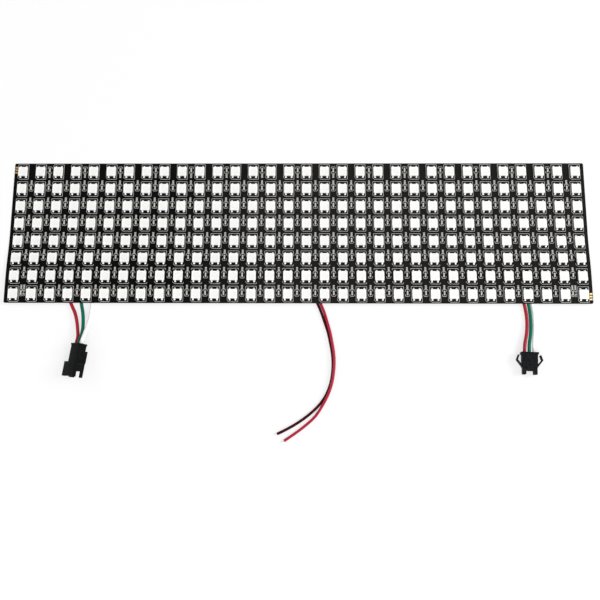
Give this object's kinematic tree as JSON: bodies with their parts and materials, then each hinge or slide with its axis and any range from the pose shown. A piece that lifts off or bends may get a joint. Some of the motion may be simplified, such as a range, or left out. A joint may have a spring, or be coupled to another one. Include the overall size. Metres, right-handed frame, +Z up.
{
  "type": "flexible led dot matrix",
  "caption": "Flexible black circuit sheet with rows of square white addressable LEDs, capacitors between them, three-wire data leads with a socket and a plug, and a bare power pair.",
  "frame": {"origin": "middle of the board, at the surface that it lies on", "axes": "+X along the LED rows, towards the output lead; +Y away from the edge that the leads come out of; +Z up out of the LEDs"},
  "size_m": [0.32, 0.1542, 0.012],
  "materials": {
    "board": "black solder mask over polyimide film, satin",
    "led_housing": "white reflector moulding, semi-gloss",
    "led_lens": "clear encapsulant, gloss",
    "lead_metal": "silver-plated lead frame, bright",
    "solder": "tin solder, bright",
    "silicon": "polished silicon",
    "capacitor_ceramic": "fired ceramic, tan",
    "resistor_body": "black glaze",
    "gold_pad": "gold plated, satin",
    "copper": "stranded copper, bright",
    "wire_red": "red insulation, semi-gloss",
    "wire_green": "green insulation, semi-gloss",
    "wire_white": "white insulation, semi-gloss",
    "wire_black": "black insulation, semi-gloss",
    "connector": "black nylon moulding, satin",
    "contact": "plated brass, bright"
  },
  "bodies": {
    "root": {"flex_board": "board", "led_housings_row_1": "led_housing", "led_housings_row_2": "led_housing", "led_housings_row_3": "led_housing", "led_housings_row_4": "led_housing", "led_housings_row_5": "led_housing", "led_housings_row_6": "led_housing", "led_housings_row_7": "led_housing", "led_housings_row_8": "led_housing", "led_lenses_row_1": "led_lens", "led_lenses_row_2": "led_lens", "led_lenses_row_3": "led_lens", "led_lenses_row_4": "led_lens", "led_lenses_row_5": "led_lens", "led_lenses_row_6": "led_lens", "led_lenses_row_7": "led_lens", "led_lenses_row_8": "led_lens", "led_leads_row_1": "lead_metal", "led_leads_row_2": "lead_metal", "led_leads_row_3": "lead_metal", "led_leads_row_4": "lead_metal", "led_leads_row_5": "lead_metal", "led_leads_row_6": "lead_metal", "led_leads_row_7": "lead_metal", "led_leads_row_8": "lead_metal", "driver_chips": "silicon", "capacitor_bodies": "capacitor_ceramic", "chip_component_ends": "solder", "resistor_bodies": "resistor_body", "input_edge_pads": "gold_pad", "output_edge_pads": "gold_pad", "back_solder_lands": "solder", "input_solder_joints": "solder", "output_solder_joints": "solder", "power_solder_joints": "solder", "input_conductor_ends": "copper", "output_conductor_ends": "copper", "power_conductor_ends": "copper", "power_tinned_tips": "solder", "input_wire_red": "wire_red", "input_wire_green": "wire_green", "input_wire_white": "wire_white", "output_wire_red": "wire_red", "output_wire_green": "wire_green", "output_wire_white": "wire_white", "power_wire_black": "wire_black", "power_wire_red": "wire_red", "input_socket_housing": "connector", "input_contact_pins": "contact", "output_plug_housing": "connector", "output_contact_sockets": "contact"}
  },
  "joints": []
}
